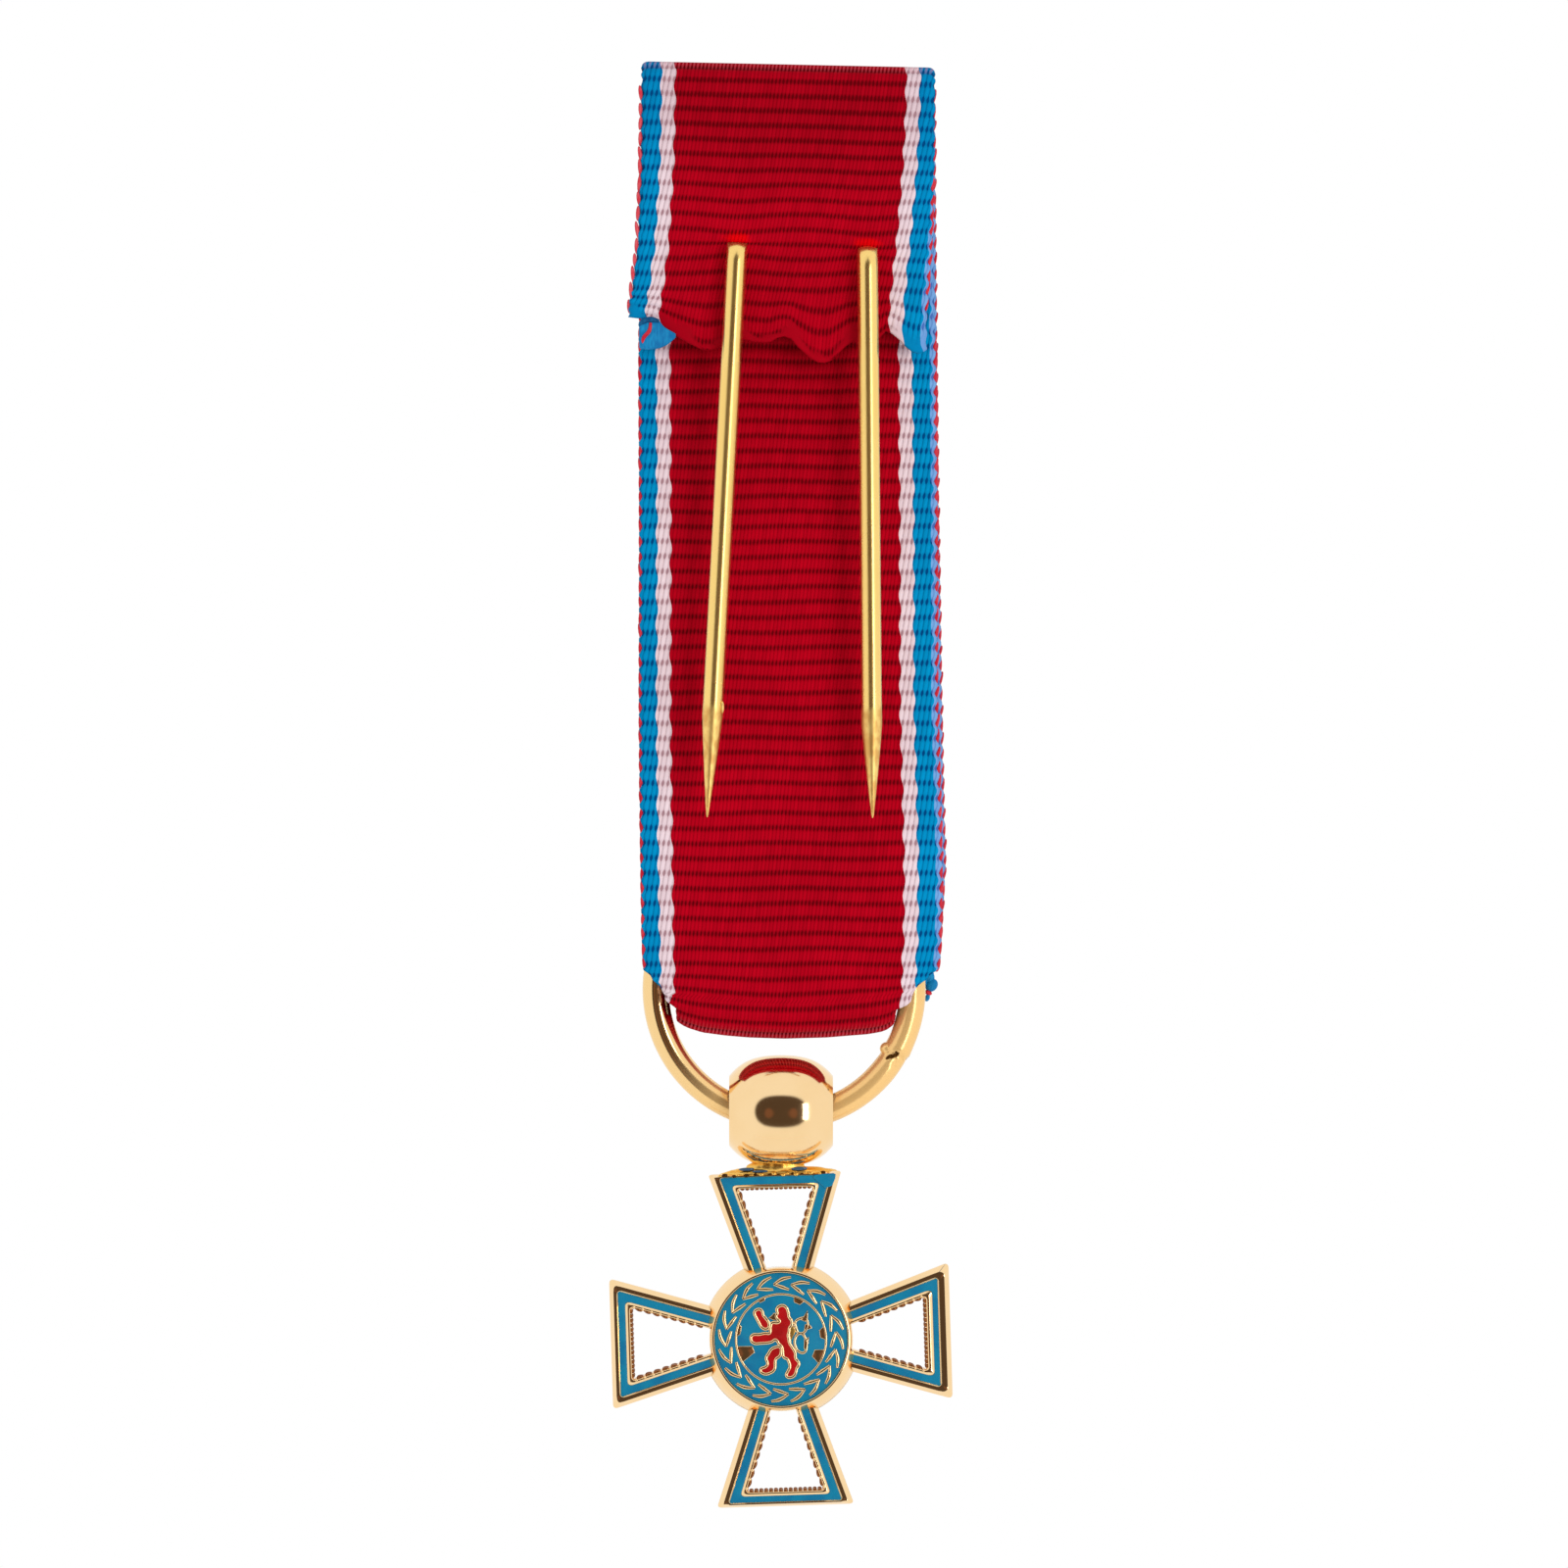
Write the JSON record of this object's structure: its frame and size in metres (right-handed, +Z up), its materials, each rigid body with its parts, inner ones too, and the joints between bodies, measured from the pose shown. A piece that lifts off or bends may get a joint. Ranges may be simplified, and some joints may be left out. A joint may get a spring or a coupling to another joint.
{
  "type": "miniature medal",
  "caption": "Miniature medal on a folded striped ribbon with a two-prong pin fitting, a ring, and an open enamelled cross with a lion on its round boss.",
  "frame": {"origin": "on the outer face of the ribbon's back flap, at the height of the prongs' roots, where the medal is pinned on", "axes": "+Z up towards the ribbon's top fold, -Y towards the pin side that the picture shows, +X to the right of a viewer who looks at the pin side"},
  "size_m": [0.0172, 0.0074, 0.074],
  "materials": {
    "ribbon": "ribbed weave, red with white and blue edge stripes",
    "pin_gold": "gilt, drawn wire with ground tips",
    "ring_gold": "gilt, polished wire",
    "cross_gold": "gilt, polished",
    "blue_enamel": "glossy fired enamel",
    "red_enamel": "glossy fired enamel"
  },
  "bodies": {
    "hanger": {"ribbon": "ribbon", "pin_fitting": "pin_gold", "suspension_ring": "ring_gold"},
    "drop": {"cross": "cross_gold", "enamel_top": "blue_enamel", "enamel_right": "blue_enamel", "enamel_bottom": "blue_enamel", "enamel_left": "blue_enamel", "enamel_wreath": "blue_enamel", "enamel_field": "blue_enamel", "enamel_lion": "red_enamel", "enamel_lion_forepaw": "red_enamel", "enamel_lion_hind_leg": "red_enamel", "enamel_tail_upper": "blue_enamel", "enamel_tail_lower": "blue_enamel", "front_enamel_top": "blue_enamel", "front_enamel_right": "blue_enamel", "front_enamel_bottom": "blue_enamel", "front_enamel_left": "blue_enamel", "front_enamel_disc": "blue_enamel"}
  },
  "joints": [
    {"name": "cross_swing", "type": "hinge", "parent": "hanger", "child": "drop", "pos_m": [-0.0003, 0.00325, -0.04412], "axis": [1, 0, 0], "range_deg": [-150, 150]}
  ]
}
